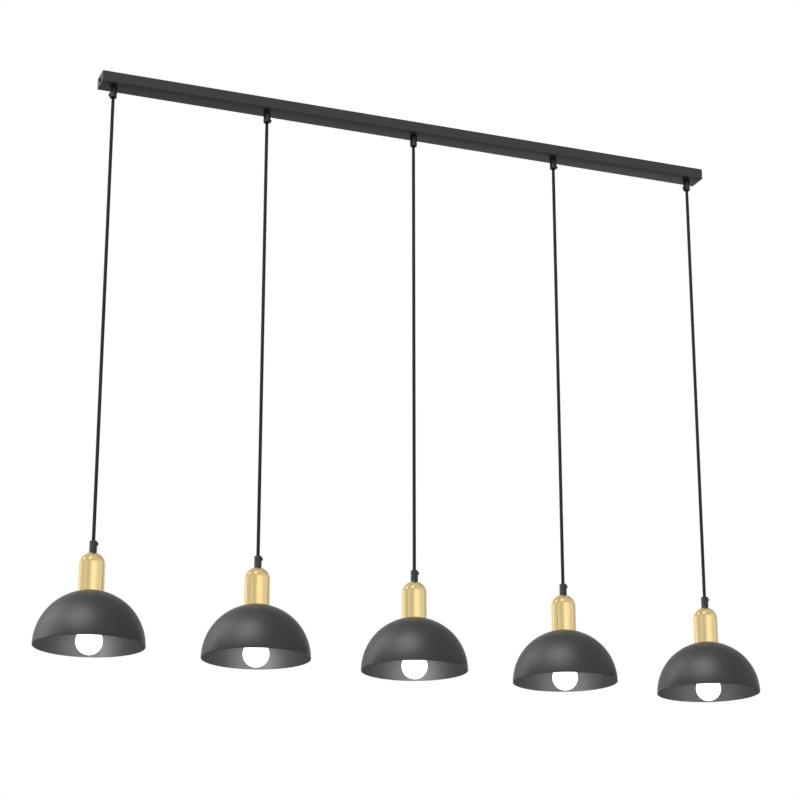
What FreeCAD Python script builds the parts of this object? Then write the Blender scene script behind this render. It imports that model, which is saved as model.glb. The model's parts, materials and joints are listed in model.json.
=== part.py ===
"""Linear island pendant: five lamps in a row under one canopy bar. Millimetres, +Z up.

The origin is on the ceiling, over the middle of the bar. X runs along the bar and Y to its back.
Everything hangs below z = 0: the bar, five cord grips, five cords and five lamp heads.
"""
import FreeCAD
import Part
import Sketcher
import math
import os

PENDANTS = 5
NUMBERS = range(1, PENDANTS + 1)

SIZES = {
    # canopy: a folded sheet box, open towards the ceiling
    "bar_length": 1200.0,
    "bar_width": 40.0,
    "bar_height": 20.5,
    "sheet_wall": 1.2,
    "fold_radius": 0.9,
    "pendant_end_margin": 25.0,
    # bracket on the ceiling: a strip with bent ears
    "bracket_width": 25.0,
    "bracket_wall": 1.5,
    "bracket_bend": 0.8,
    "bracket_gap": 0.6,
    "ear_drop": 16.0,
    "slot_spacing": 800.0,
    "slot_length": 20.0,
    "slot_width": 5.0,
    "cable_slot_place": 55.0,
    "cable_slot_length": 40.0,
    "cable_slot_width": 12.0,
    # screws through the canopy's end plates
    "side_screw_radius": 1.95,
    "side_screw_reach": 8.0,
    "side_head_radius": 4.4,
    "side_head_height": 2.2,
    "side_recess_reach": 2.5,
    "side_recess_width": 1.0,
    "side_recess_depth": 1.1,
    # cord and its grips
    "cord_radius": 3.0,
    "cord_length": 815.0,
    "grip_radius": 6.5,
    "grip_length": 20.5,
    "grip_chamfer": 0.3,
    "grip_bore_gap": 0.3,
    "spigot_radius": 4.9,
    "spigot_length": 6.5,
    "thread_gap": 0.1,
    "clamp_drop": 4.4,
    "clamp_radius": 1.6,
    "clamp_seat_depth": 0.7,
    "clamp_head_radius": 2.9,
    "clamp_head_height": 2.35,
    "clamp_head_round": 0.9,
    "nut_across_flats": 14.0,
    "nut_height": 3.0,
    # wiring space inside the canopy
    "tail_bend": 7.0,
    "tail_wide_bend": 60.0,
    "tail_lead_in": 7.0,
    "tail_top": 6.5,
    "tail_lane": 7.6,
    "tail_sweep": 40.0,
    "block_place": 115.0,
    "block_length": 60.0,
    "block_width": 24.0,
    "block_height": 14.0,
    "block_round": 1.0,
    "block_entry_drop": 7.3,
    "block_entry_depth": 8.0,
    "block_well_radius": 2.4,
    "block_well_depth": 3.8,
    "block_screw_pitch": 9.0,
    "block_screw_radius": 2.2,
    "block_screw_height": 2.5,
    "block_screw_slot": 0.7,
    "earth_place": 190.0,
    "earth_offset": 8.0,
    "earth_radius": 2.0,
    "earth_length": 8.0,
    "earth_nut_flats": 7.0,
    "earth_nut_height": 3.2,
    # cup over the lampholder
    "cup_radius": 22.0,
    "cup_wall": 0.8,
    "cup_side": 46.0,
    "cup_flat": 6.7,
    # nipple and lampholder
    "nipple_radius": 4.9,
    "nipple_bore": 3.9,
    "nipple_in_grip": 7.5,
    "nipple_in_cap": 9.0,
    "cap_height": 28.8,
    "cap_neck_radius": 7.5,
    "cap_neck_height": 5.0,
    "cap_radius": 17.0,
    "cap_round": 5.0,
    "cord_end": 6.0,
    "chamber_radius": 11.0,
    "chamber_floor": 4.0,
    "flange_radius": 19.6,
    "flange_height": 2.4,
    "skirt_radius": 17.5,
    "skirt_length": 38.8,
    "socket_depth": 22.2,
    "socket_gap": 0.5,
    # shade and its ring
    "shade_radius": 93.0,
    "shade_wall": 1.0,
    "cup_overhang": 0.2,
    "shade_hole_gap": 0.4,
    "ring_radius": 24.0,
    "ring_height": 8.0,
    "ring_gap": 0.2,
    "ring_notch_depth": 1.2,
    "ring_notch_width": 3.0,
    # bulb
    "bulb_radius": 22.5,
    "bulb_length": 88.0,
    "bulb_glass": 1.0,
    "bulb_base_radius": 13.1,
    "bulb_base_length": 27.0,
    "bulb_shoulder": 5.0,
    "bulb_tip_radius": 4.8,
    "bulb_tip_gap": 0.1,
}

RING_NOTCHES = 12
BLOCK_SCREWS = 6
# a bounding box's side below this, in mm, belongs to an edge that is flat in that direction
FLAT = 0.01
# the side that each clamp screw points to, in degrees from the bar's +X, left pendant first
UPPER_SCREW_SIDES = (180.0, 0.0, 90.0, 0.0, 180.0)
LOWER_SCREW_SIDE = 0.0
# the lane of each cord tail on its way to the terminal block: -1 front, 0 middle, 1 back
TAIL_LANES = (-1, 1, 0, 0, -1)
# how far a swept tube's volume may be from its section times its length
SWEEP_TOLERANCE = 0.001

SHEET = "Sizes"
START, END, CENTRE = range(1, 4)
UP = FreeCAD.Vector(0, 0, 1)


class Size:
    """A length held as its number and as the formula of sheet cells that gives it."""

    def __init__(self, number, formula=None):
        self.number = float(number)
        self.formula = formula or f"({self.number})"

    def __add__(self, other):
        other = size(other)
        return Size(self.number + other.number, f"({self.formula} + {other.formula})")

    def __sub__(self, other):
        other = size(other)
        return Size(self.number - other.number, f"({self.formula} - {other.formula})")

    def __mul__(self, other):
        other = size(other)
        return Size(self.number * other.number, f"({self.formula} * {other.formula})")

    def __truediv__(self, other):
        other = size(other)
        return Size(self.number / other.number, f"({self.formula} / {other.formula})")

    def __rsub__(self, other):
        return size(other) - self

    def __neg__(self):
        return size(0) - self

    __radd__ = __add__
    __rmul__ = __mul__


def size(value):
    """The value itself if it is a Size, or a plain number as one."""
    return value if isinstance(value, Size) else Size(value)


def other_leg(hypotenuse, leg):
    """The other short side of a right triangle: how high a sphere stands at a radius from its axis."""
    number = math.sqrt(hypotenuse.number**2 - leg.number**2)
    return Size(number, f"sqrt({hypotenuse.formula}^2 - {leg.formula}^2)")


def make_sheet():
    """The spreadsheet of driving sizes, one row each."""
    sheet = doc.addObject("Spreadsheet::Sheet", SHEET)
    for row, (name, value) in enumerate(SIZES.items(), start=1):
        sheet.set(f"A{row}", name)
        sheet.set(f"B{row}", str(value))
        sheet.setAlias(f"B{row}", name)
    doc.recompute()
    return sheet


class Driving:
    """The sheet's cells by name, each as a Size."""

    def __init__(self, sheet):
        for name in SIZES:
            setattr(self, name, Size(getattr(sheet, name), f"{SHEET}.{name}"))


def bind(item, name, value):
    """Ties a property of an object to the sheet."""
    item.setExpression(name, size(value).formula)


def point(x, y):
    return FreeCAD.Vector(size(x).number, size(y).number, 0)


def hold(sketch, kind, place, value):
    """A dimension in a sketch, tied to the sheet. place is the edge and, for a point, its end."""
    value = size(value)
    index = sketch.addConstraint(Sketcher.Constraint(kind, *place, value.number))
    sketch.setExpression(f"Constraints[{index}]", value.formula)


def pin(sketch, edge, end, x, y):
    """Holds a point of an edge at (x, y)."""
    hold(sketch, "DistanceX", (edge, end), x)
    hold(sketch, "DistanceY", (edge, end), y)


def add_edge(sketch, corner_from, corner_to):
    """A straight or round edge. Returns its index and which of its ends is the first and the last."""
    first, last = point(*corner_from[:2]), point(*corner_to[:2])
    if len(corner_to) == 2:
        return sketch.addGeometry(Part.LineSegment(first, last)), START, END
    centre = point(*corner_to[2:])
    one, two = first - centre, last - centre
    angles = [math.atan2(one.y, one.x), math.atan2(two.y, two.x)]
    forwards = one.cross(two).z > 0
    if not forwards:
        angles.reverse()
    circle = Part.Circle(centre, UP, one.Length)
    edge = sketch.addGeometry(Part.ArcOfCircle(circle, *angles))
    chord = last - first
    if abs(chord.y) > abs(chord.x):
        hold(sketch, "DistanceX", (edge, CENTRE), corner_to[2])
    else:
        hold(sketch, "DistanceY", (edge, CENTRE), corner_to[3])
    return (edge, START, END) if forwards else (edge, END, START)


def add_loop(sketch, corners):
    """A closed loop. A corner is (x, y), or (x, y, cx, cy) if an arc about (cx, cy) leads to it."""
    edges = [add_edge(sketch, corners[n - 1], corner) for n, corner in enumerate(corners)]
    for n, (edge, start, end) in enumerate(edges):
        edge_before, _, end_before = edges[n - 1]
        sketch.addConstraint(Sketcher.Constraint("Coincident", edge_before, end_before, edge, start))
        pin(sketch, edge, end, *corners[n][:2])


def draw(body, name, plane, loops=(), circles=(), lift=None):
    """A sketch on one of the body's own planes, of loops and of circles (x, y, radius)."""
    sketch = body.newObject("Sketcher::SketchObject", name)
    support = next(item for item in body.Origin.OriginFeatures if item.Role == plane)
    sketch.AttachmentSupport = [(support, "")]
    sketch.MapMode = "FlatFace"
    if lift is not None:
        bind(sketch, "AttachmentOffset.Base.z", lift)
    for corners in loops:
        add_loop(sketch, corners)
    for x, y, radius in circles:
        circle = sketch.addGeometry(Part.Circle(point(x, y), UP, size(radius).number))
        pin(sketch, circle, CENTRE, x, y)
        hold(sketch, "Radius", (circle,), radius)
    return sketch


def new_body(name):
    body = doc.addObject("PartDesign::Body", name)
    body.Label = name
    return body


def place(body, x=0, y=0, z=0, turn=0.0):
    """Moves a body to a point of the row, turned about the upright through it."""
    body.Placement = FreeCAD.Placement(FreeCAD.Vector(), FreeCAD.Rotation(UP, turn))
    for axis, value in (("x", x), ("y", y), ("z", z)):
        bind(body, f"Placement.Base.{axis}", value)
    return body


def revolve(body, corners, axis="V_Axis", name="turned"):
    """Turns a profile in the XZ plane about the body's upright or, with H_Axis, about its X axis."""
    sketch = draw(body, f"{name}_profile", "XZ_Plane", [corners])
    turned = body.newObject("PartDesign::Revolution", name)
    turned.Profile = sketch
    turned.ReferenceAxis = (sketch, [axis])
    turned.Angle = 360
    return turned


def pad(body, sketch, length, name="pad", side="One side", down=False):
    feature = body.newObject("PartDesign::Pad", name)
    feature.Profile = sketch
    feature.SideType = side
    feature.Reversed = down
    bind(feature, "Length", length)
    return feature


def pocket(body, sketch, name, depth=None, side="One side", forwards=False):
    """Cuts a sketch into the body, against its plane's normal or forwards, to a depth or through."""
    feature = body.newObject("PartDesign::Pocket", name)
    feature.Profile = sketch
    feature.SideType = side
    feature.Reversed = forwards
    if depth is None:
        feature.Type = "ThroughAll"
    else:
        bind(feature, "Length", depth)
    return feature


def round_edges(body, feature, wanted, radius, name="rounding"):
    """Fillets the feature's edges whose bounding boxes are wanted."""
    doc.recompute()
    edges = feature.Shape.Edges
    chosen = [f"Edge{n}" for n, edge in enumerate(edges, start=1) if wanted(edge.BoundBox)]
    fillet = body.newObject("PartDesign::Fillet", name)
    fillet.Base = (feature, chosen)
    bind(fillet, "Radius", radius)
    return fillet


def repeat_along_x(body, features, sketch, spacing, count):
    """A row of separate copies along X."""
    row = body.newObject("PartDesign::LinearPattern", "row")
    row.Originals = features
    row.Direction = (sketch, ["H_Axis"])
    row.Mode = "Spacing"
    bind(row, "Offset", spacing)
    row.Occurrences = count
    body.Tip = row
    return row


def group(name, members):
    """Several separate solids of one kind under one name."""
    compound = doc.addObject("Part::Compound", name)
    compound.Label = name
    compound.Links = members
    return compound


def box_corners(x_low, x_high, y_low, y_high):
    return [(x_low, y_low), (x_high, y_low), (x_high, y_high), (x_low, y_high)]


def centred_box(half_x, half_y):
    return box_corners(-half_x, half_x, -half_y, half_y)


def hexagon(across_flats):
    """A hexagon's corners, with two flats along X."""
    half = across_flats / 2
    corner = across_flats / math.sqrt(3)
    return [
        (corner, 0),
        (corner / 2, half),
        (-corner / 2, half),
        (-corner, 0),
        (-corner / 2, -half),
        (corner / 2, -half),
    ]


def slot_corners(x, length, width):
    """A slot along X about (x, 0) with round ends, each end as two quarter arcs."""
    radius = width / 2
    left, right = x - length / 2 + radius, x + length / 2 - radius
    return [
        (left, -radius, left, 0),
        (right, -radius),
        (right + radius, 0, right, 0),
        (right, radius, right, 0),
        (left, radius),
        (left - radius, 0, left, 0),
    ]


doc = FreeCAD.newDocument("linear_island_pendant")
d = Driving(make_sheet())


pendant_pitch = (d.bar_length - 2 * d.pendant_end_margin) / (PENDANTS - 1)


def pendant_x(number):
    """Where a pendant hangs along the bar."""
    return (number - (PENDANTS + 1) / 2) * pendant_pitch


# levels, from the ceiling down
floor_z = d.sheet_wall - d.bar_height
bar_bottom_z = -d.bar_height
mouth_z = bar_bottom_z - d.grip_length
lower_grip_z = mouth_z - d.cord_length
cup_top_z = lower_grip_z - d.grip_length
dome_z = cup_top_z - other_leg(d.cup_radius, d.cup_flat)
seat_z = dome_z - d.cup_side
shade_flat = d.cup_radius - d.cup_overhang
rim_z = seat_z - other_leg(d.shade_radius, shade_flat)
cap_top_z = seat_z + d.cap_height
socket_mouth_z = seat_z - d.skirt_length
socket_floor_z = socket_mouth_z + d.socket_depth
bulb_tip_z = socket_floor_z - d.bulb_tip_gap
bulb_base_z = bulb_tip_z - d.bulb_base_length
bulb_centre_z = bulb_tip_z - d.bulb_length + d.bulb_radius

grip_bore = d.cord_radius + d.grip_bore_gap
spigot_hole = d.spigot_radius + d.thread_gap
nipple_hole = d.nipple_radius + d.thread_gap
clamp_hole = d.clamp_radius + d.thread_gap
clamp_seat = d.grip_radius - d.clamp_seat_depth
screw_level_z = -d.bar_height / 2


def make_canopy():
    """The folded box, hollowed from the ceiling side, with its grip holes and end screw holes."""
    body = new_body("canopy_cover")
    half_length, half_width = d.bar_length / 2, d.bar_width / 2
    outline = draw(body, "outline", "XY_Plane", [centred_box(half_length, half_width)])
    block = pad(body, outline, d.bar_height, down=True)
    bottom = bar_bottom_z.number

    def folded(box):
        upright = box.XLength < FLAT and box.YLength < FLAT
        return upright or abs(box.ZMax - bottom) < FLAT

    round_edges(body, block, folded, d.fold_radius, "folds")
    inner = centred_box(half_length - d.sheet_wall, half_width - d.sheet_wall)
    hollow = draw(body, "hollow", "XY_Plane", [inner])
    pocket(body, hollow, "inside", d.bar_height - d.sheet_wall)
    circles = [(pendant_x(n), 0, spigot_hole) for n in NUMBERS]
    pocket(body, draw(body, "grip_holes", "XY_Plane", circles=circles), "grip_openings")
    screw_hole = d.side_screw_radius + 2 * d.thread_gap
    ends = draw(body, "end_holes", "YZ_Plane", circles=[(0, screw_level_z, screw_hole)])
    pocket(body, ends, "end_openings", side="Symmetric")
    return body


def make_bracket():
    """The steel strip on the ceiling, with bent ears inside the canopy's end plates."""
    body = new_body("ceiling_bracket")
    wall, bend = d.bracket_wall, d.bracket_bend
    outer = bend + wall
    end = d.bar_length / 2 - d.sheet_wall - d.bracket_gap
    right = [
        (end - wall, -d.ear_drop),
        (end, -d.ear_drop),
        (end, -outer),
        (end - outer, 0, end - outer, -outer),
    ]
    inside_right = [(end - outer, -wall), (end - wall, -outer, end - outer, -outer)]
    left = [
        (-end + outer, 0),
        (-end, -outer, -end + outer, -outer),
        (-end, -d.ear_drop),
        (-end + wall, -d.ear_drop),
    ]
    inside_left = [(-end + wall, -outer), (-end + outer, -wall, -end + outer, -outer)]
    profile = draw(body, "strip", "XZ_Plane", [right + left + inside_left + inside_right])
    pad(body, profile, d.bracket_width, side="Symmetric")
    slots = [
        slot_corners(-d.slot_spacing / 2, d.slot_length, d.slot_width),
        slot_corners(d.slot_spacing / 2, d.slot_length, d.slot_width),
        slot_corners(d.cable_slot_place, d.cable_slot_length, d.cable_slot_width),
    ]
    pocket(body, draw(body, "slots", "XY_Plane", slots), "slot_openings")
    ear_hole = d.side_screw_radius + d.thread_gap / 2
    ears = draw(body, "ear_holes", "YZ_Plane", circles=[(0, screw_level_z, ear_hole)])
    pocket(body, ears, "ear_openings", side="Symmetric")
    return body


def make_side_screw(name, turn):
    """A domed screw along X with a cross recess, its head on the canopy's end plate."""
    body = new_body(name)
    end = d.bar_length / 2
    top = end + d.side_head_height
    edge = d.side_head_height / 2
    revolve(
        body,
        [
            (end - d.side_screw_reach, 0),
            (top, 0),
            (top, d.side_head_radius - edge),
            (end + edge, d.side_head_radius, end + edge, d.side_head_radius - edge),
            (end, d.side_head_radius),
            (end, d.side_screw_radius),
            (end - d.side_screw_reach, d.side_screw_radius),
        ],
        axis="H_Axis",
    )
    half, reach = d.side_recess_width / 2, d.side_recess_reach
    for blade, corners in (
        ("recess_across", centred_box(reach, half)),
        ("recess_upright", centred_box(half, reach)),
    ):
        cross = draw(body, f"{blade}_outline", "YZ_Plane", [corners], lift=top)
        pocket(body, cross, blade, d.side_recess_depth)
    return place(body, z=screw_level_z, turn=turn)


def cut_clamp_hole(body, z):
    """The clamp screw's cross hole in a grip's wall, with a flat seat for its head."""
    hole = draw(body, "clamp_hole", "YZ_Plane", circles=[(0, z, clamp_hole)])
    pocket(body, hole, "clamp_bore", forwards=True)
    seat_radius = d.clamp_head_radius + d.thread_gap
    circles = [(0, z, seat_radius)]
    seat = draw(body, "clamp_seat", "YZ_Plane", circles=circles, lift=clamp_seat)
    pocket(body, seat, "clamp_spotface", forwards=True)


def make_upper_grip(number):
    """A cord grip under the bar: a sleeve with a spigot through the canopy's floor."""
    body = new_body(f"upper_grip_{number}")
    spigot_top = bar_bottom_z + d.spigot_length
    revolve(
        body,
        [
            (grip_bore, mouth_z),
            (d.grip_radius - d.grip_chamfer, mouth_z),
            (d.grip_radius, mouth_z + d.grip_chamfer),
            (d.grip_radius, bar_bottom_z),
            (d.spigot_radius, bar_bottom_z),
            (d.spigot_radius, spigot_top),
            (grip_bore, spigot_top),
        ],
    )
    cut_clamp_hole(body, mouth_z + d.clamp_drop)
    return place(body, x=pendant_x(number), turn=UPPER_SCREW_SIDES[number - 1])


def make_lower_grip(number):
    """A cord grip on the cup's top, threaded inside for the nipple."""
    body = new_body(f"lower_grip_{number}")
    thread_top = cup_top_z + d.nipple_in_grip
    revolve(
        body,
        [
            (grip_bore, lower_grip_z),
            (grip_bore, thread_top),
            (nipple_hole, thread_top),
            (nipple_hole, cup_top_z),
            (d.grip_radius, cup_top_z),
            (d.grip_radius, lower_grip_z - d.grip_chamfer),
            (d.grip_radius - d.grip_chamfer, lower_grip_z),
        ],
    )
    cut_clamp_hole(body, lower_grip_z - d.clamp_drop)
    return place(body, x=pendant_x(number), turn=LOWER_SCREW_SIDE)


def make_clamp_screw(name, number, z, turn):
    """A clamp screw along X: its tip ends at the cord, its rounded head on the grip's spot face."""
    body = new_body(name)
    tip = d.cord_radius + d.thread_gap
    top = clamp_seat + d.clamp_head_height
    crown = top - d.clamp_head_round
    flat_radius = d.clamp_head_radius - d.clamp_head_round
    revolve(
        body,
        [
            (tip, 0),
            (top, 0),
            (top, flat_radius),
            (crown, d.clamp_head_radius, crown, flat_radius),
            (clamp_seat, d.clamp_head_radius),
            (clamp_seat, d.clamp_radius),
            (tip, d.clamp_radius),
        ],
        axis="H_Axis",
    )
    return place(body, x=pendant_x(number), z=z, turn=turn)


def make_grip_nuts():
    """The hexagon nuts on the canopy's floor, one for each spigot."""
    body = new_body("grip_nuts")
    corners = hexagon(d.nut_across_flats)
    outline = draw(body, "outline", "XY_Plane", [corners], [(0, 0, spigot_hole)])
    nut = pad(body, outline, d.nut_height)
    repeat_along_x(body, [nut], outline, pendant_pitch, PENDANTS)
    return place(body, x=pendant_x(1), z=floor_z)


def block_entry(number):
    """Where a cord tail ends in the terminal block: the bottom of its entry hole."""
    side = -1 if pendant_x(number).number < d.block_place.number else 1
    depth_x = d.block_place + side * (d.block_length / 2 - d.block_entry_depth)
    return side, depth_x, TAIL_LANES[number - 1] * d.tail_lane


def make_terminal_block():
    """The housing on the canopy's floor: cord entries in its ends and screw wells in its top."""
    body = new_body("terminal_block")
    half_length, half_width = d.block_length / 2, d.block_width / 2
    outline = draw(body, "outline", "XY_Plane", [centred_box(half_length, half_width)])
    block = pad(body, outline, d.block_height)
    round_edges(body, block, lambda box: box.ZLength > FLAT, d.block_round, "corners")
    entry_z = d.block_height - d.block_entry_drop
    entry_radius = d.cord_radius + d.thread_gap
    entries = [block_entry(n) for n in NUMBERS]
    for side, name in ((-1, "left"), (1, "right")):
        circles = [(lane, entry_z, entry_radius) for came, _, lane in entries if came == side]
        depth = side * (half_length - d.block_entry_depth)
        sketch = draw(body, f"{name}_entries", "YZ_Plane", circles=circles, lift=depth)
        pocket(body, sketch, f"{name}_openings", forwards=side > 0)
    first = -d.block_screw_pitch * (BLOCK_SCREWS - 1) / 2
    places = [(first + n * d.block_screw_pitch, 0, d.block_well_radius) for n in range(BLOCK_SCREWS)]
    wells = draw(body, "wells", "XY_Plane", circles=places, lift=d.block_height)
    pocket(body, wells, "screw_wells", d.block_well_depth)
    return place(body, x=d.block_place, z=floor_z)


def make_terminal_screws():
    """Slotted screws at the bottom of the terminal block's wells."""
    body = new_body("terminal_screws")
    outline = draw(body, "outline", "XY_Plane", circles=[(0, 0, d.block_screw_radius)])
    head = pad(body, outline, d.block_screw_height)
    corners = centred_box(d.block_screw_radius + d.block_screw_slot, d.block_screw_slot / 2)
    groove = draw(body, "slot", "XY_Plane", [corners], lift=d.block_screw_height)
    slot = pocket(body, groove, "slot_cut", d.block_screw_slot)
    repeat_along_x(body, [head, slot], outline, d.block_screw_pitch, BLOCK_SCREWS)
    first = d.block_place - d.block_screw_pitch * (BLOCK_SCREWS - 1) / 2
    return place(body, x=first, z=floor_z + d.block_height - d.block_well_depth)


def make_earth_stud():
    """A stud on the canopy's floor with its nut."""
    stud = new_body("earth_pin")
    outline = draw(stud, "outline", "XY_Plane", circles=[(0, 0, d.earth_radius)])
    pad(stud, outline, d.earth_length)
    nut = new_body("earth_nut")
    bore = d.earth_radius + d.thread_gap
    corners = hexagon(d.earth_nut_flats)
    pad(nut, draw(nut, "outline", "XY_Plane", [corners], [(0, 0, bore)]), d.earth_nut_height)
    for item in (stud, nut):
        place(item, x=d.earth_place, y=d.earth_offset, z=floor_z)
    return group("earth_stud", [stud, nut])


def rounded_route(points, radii):
    """A wire through the points, straight with an arc at each turn, of the radius given for it."""
    edges = []
    here = points[0]
    for before, corner, after, radius in zip(points, points[1:], points[2:], radii):
        come, leave = (corner - before).normalize(), (after - corner).normalize()
        half_turn = come.getAngle(leave) / 2
        reach = radius * math.tan(half_turn)
        start, end = corner - come * reach, corner + leave * reach
        inwards = (leave - come).normalize()
        middle = corner + inwards * (radius / math.cos(half_turn) - radius)
        edges.append(Part.LineSegment(here, start).toShape())
        edges.append(Part.Arc(start, middle, end).toShape())
        here = end
    edges.append(Part.LineSegment(here, points[-1]).toShape())
    return Part.Wire(edges)


def make_cord_tail(number):
    """A cord's end inside the canopy: up its grip, over, and along its lane into the block."""
    side, end_x, lane = (size(value).number for value in block_entry(number))
    x = pendant_x(number).number
    top = -d.tail_top.number
    entry_z = (floor_z + d.block_height - d.block_entry_drop).number
    face_x = end_x + side * d.block_entry_depth.number
    points = [
        FreeCAD.Vector(x, 0, mouth_z.number),
        FreeCAD.Vector(x, 0, top),
        FreeCAD.Vector(x - side * d.tail_sweep.number, lane, top),
        FreeCAD.Vector(face_x + side * d.tail_lead_in.number, lane, entry_z),
        FreeCAD.Vector(end_x, lane, entry_z),
    ]
    wide = d.tail_wide_bend.number
    route = rounded_route(points, (d.tail_bend.number, wide, wide))
    radius = d.cord_radius.number
    section = Part.Wire([Part.Circle(points[0], UP, radius).toShape()])
    tail = doc.addObject("Part::Feature", f"cord_tail_{number}")
    tail.Shape = route.makePipeShell([section], True, False)
    share = tail.Shape.Volume / (math.pi * radius**2 * route.Length)
    if abs(share - 1) > SWEEP_TOLERANCE:
        raise RuntimeError(f"cord tail {number} holds {share:.4f} of its section times its length")
    print(f"cord tail {number}: {route.Length:.0f} mm, bends of {d.tail_bend.number} and {wide} mm")
    return tail


def make_cord(number):
    """The hanging cord, from the upper grip's mouth through the lower grip and nipple into the cap."""
    body = new_body(f"cord_{number}")
    end_z = cap_top_z - d.nipple_in_cap - d.cord_end
    round_section = draw(body, "section", "XY_Plane", circles=[(0, 0, d.cord_radius)])
    pad(body, round_section, mouth_z - end_z)
    return place(body, x=pendant_x(number), z=end_z)


def make_nipple(number):
    """The hollow threaded tube between the lower grip and the lampholder's cap."""
    body = new_body(f"nipple_{number}")
    top, bottom = cup_top_z + d.nipple_in_grip, cap_top_z - d.nipple_in_cap
    revolve(body, box_corners(d.nipple_bore, d.nipple_radius, bottom, top))
    return place(body, x=pendant_x(number))


def make_cup(number):
    """The spun cup: a round side that ends in a dome with a small flat, one wall thick."""
    body = new_body(f"cup_{number}")
    inner = d.cup_radius - d.cup_wall
    flat_z = cup_top_z - d.cup_wall
    inner_flat = other_leg(inner, flat_z - dome_z)
    revolve(
        body,
        [
            (inner, seat_z),
            (d.cup_radius, seat_z),
            (d.cup_radius, dome_z),
            (d.cup_flat, cup_top_z, 0, dome_z),
            (nipple_hole, cup_top_z),
            (nipple_hole, flat_z),
            (inner_flat, flat_z),
            (inner, dome_z, 0, dome_z),
        ],
    )
    return place(body, x=pendant_x(number))


def make_lampholder(number):
    """The lampholder: a neck on the nipple, a chamber for the cord's end, a flange and a skirt."""
    body = new_body(f"lampholder_{number}")
    shoulder_z = cap_top_z - d.cap_neck_height
    thread_end = cap_top_z - d.nipple_in_cap
    flange_top = seat_z + d.flange_height
    socket = d.bulb_base_radius + d.socket_gap
    arc_x, arc_z = d.cap_radius - d.cap_round, shoulder_z - d.cap_round
    revolve(
        body,
        [
            (nipple_hole, cap_top_z),
            (nipple_hole, thread_end),
            (d.chamber_radius, thread_end),
            (d.chamber_radius, seat_z + d.chamber_floor),
            (0, seat_z + d.chamber_floor),
            (0, socket_floor_z),
            (socket, socket_floor_z),
            (socket, socket_mouth_z),
            (d.skirt_radius, socket_mouth_z),
            (d.skirt_radius, seat_z),
            (d.flange_radius, seat_z),
            (d.flange_radius, flange_top),
            (d.cap_radius, flange_top),
            (d.cap_radius, arc_z),
            (arc_x, shoulder_z, arc_x, arc_z),
            (d.cap_neck_radius, shoulder_z),
            (d.cap_neck_radius, cap_top_z),
        ],
    )
    return place(body, x=pendant_x(number))


def make_shade(number):
    """The spun shade: a half sphere open below, with a flat on top that seats cup and lampholder."""
    body = new_body(f"shade_{number}")
    inner = d.shade_radius - d.shade_wall
    hole = d.skirt_radius + d.shade_hole_gap
    flat_z = seat_z - d.shade_wall
    inner_flat = other_leg(inner, flat_z - rim_z)
    revolve(
        body,
        [
            (inner, rim_z, 0, rim_z),
            (d.shade_radius, rim_z),
            (shade_flat, seat_z, 0, rim_z),
            (hole, seat_z),
            (hole, flat_z),
            (inner_flat, flat_z),
        ],
    )
    return place(body, x=pendant_x(number))


def make_shade_ring(number):
    """The ring on the lampholder's skirt that presses the shade up, with notches for the fingers."""
    body = new_body(f"shade_ring_{number}")
    bore = d.skirt_radius + d.ring_gap
    top = rim_z + other_leg(d.shade_radius - d.shade_wall, d.ring_radius)
    bottom = top - d.ring_height
    revolve(body, box_corners(bore, d.ring_radius, bottom, top))
    half = d.ring_notch_width / 2
    floor_x = d.ring_radius - d.ring_notch_depth
    corners = box_corners(floor_x, d.ring_radius + d.ring_notch_depth, -half, half)
    sketch = draw(body, "notch", "XY_Plane", [corners], lift=top - d.ring_notch_depth)
    notch = pocket(body, sketch, "notch_cut")
    notches = body.newObject("PartDesign::PolarPattern", "notches")
    notches.Originals = [notch]
    notches.Axis = (sketch, ["N_Axis"])
    notches.Angle = 360
    notches.Occurrences = RING_NOTCHES
    body.Tip = notches
    return place(body, x=pendant_x(number))


def make_bulb_base(number):
    """The bulb's screw base: a cap, a cone of insulation and the contact at its tip."""
    body = new_body(f"bulb_base_{number}")
    shoulder = bulb_tip_z - d.bulb_shoulder
    revolve(
        body,
        [
            (0, bulb_base_z),
            (d.bulb_base_radius, bulb_base_z),
            (d.bulb_base_radius, shoulder),
            (d.bulb_tip_radius, bulb_tip_z),
            (0, bulb_tip_z),
        ],
    )
    return place(body, x=pendant_x(number))


def make_bulb_globe(number):
    """The opal globe: a ball and its neck, one glass wall thick, open at the base."""
    body = new_body(f"bulb_globe_{number}")
    neck, inner_neck = d.bulb_base_radius, d.bulb_base_radius - d.bulb_glass
    inner = d.bulb_radius - d.bulb_glass
    shoulder = bulb_centre_z + other_leg(d.bulb_radius, neck)
    inner_shoulder = bulb_centre_z + other_leg(inner, inner_neck)
    revolve(
        body,
        [
            (0, bulb_centre_z - d.bulb_radius),
            (d.bulb_radius, bulb_centre_z, 0, bulb_centre_z),
            (neck, shoulder, 0, bulb_centre_z),
            (neck, bulb_base_z),
            (inner_neck, bulb_base_z),
            (inner_neck, inner_shoulder),
            (inner, bulb_centre_z, 0, bulb_centre_z),
            (0, bulb_centre_z - inner, 0, bulb_centre_z),
        ],
    )
    return place(body, x=pendant_x(number))


def make_ceiling_end():
    """Everything that stays with the ceiling."""
    screw_z = mouth_z + d.clamp_drop
    side_screws = [
        make_side_screw("side_screw_right", 0.0),
        make_side_screw("side_screw_left", 180.0),
    ]
    clamp_screws = [
        make_clamp_screw(f"upper_grip_screw_{n}", n, screw_z, UPPER_SCREW_SIDES[n - 1])
        for n in NUMBERS
    ]
    return [
        make_canopy(),
        make_bracket(),
        group("side_screws", side_screws),
        group("upper_grips", [make_upper_grip(n) for n in NUMBERS]),
        group("upper_grip_screws", clamp_screws),
        make_grip_nuts(),
        group("cord_tails", [make_cord_tail(n) for n in NUMBERS]),
        make_terminal_block(),
        make_terminal_screws(),
        make_earth_stud(),
    ]


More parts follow.
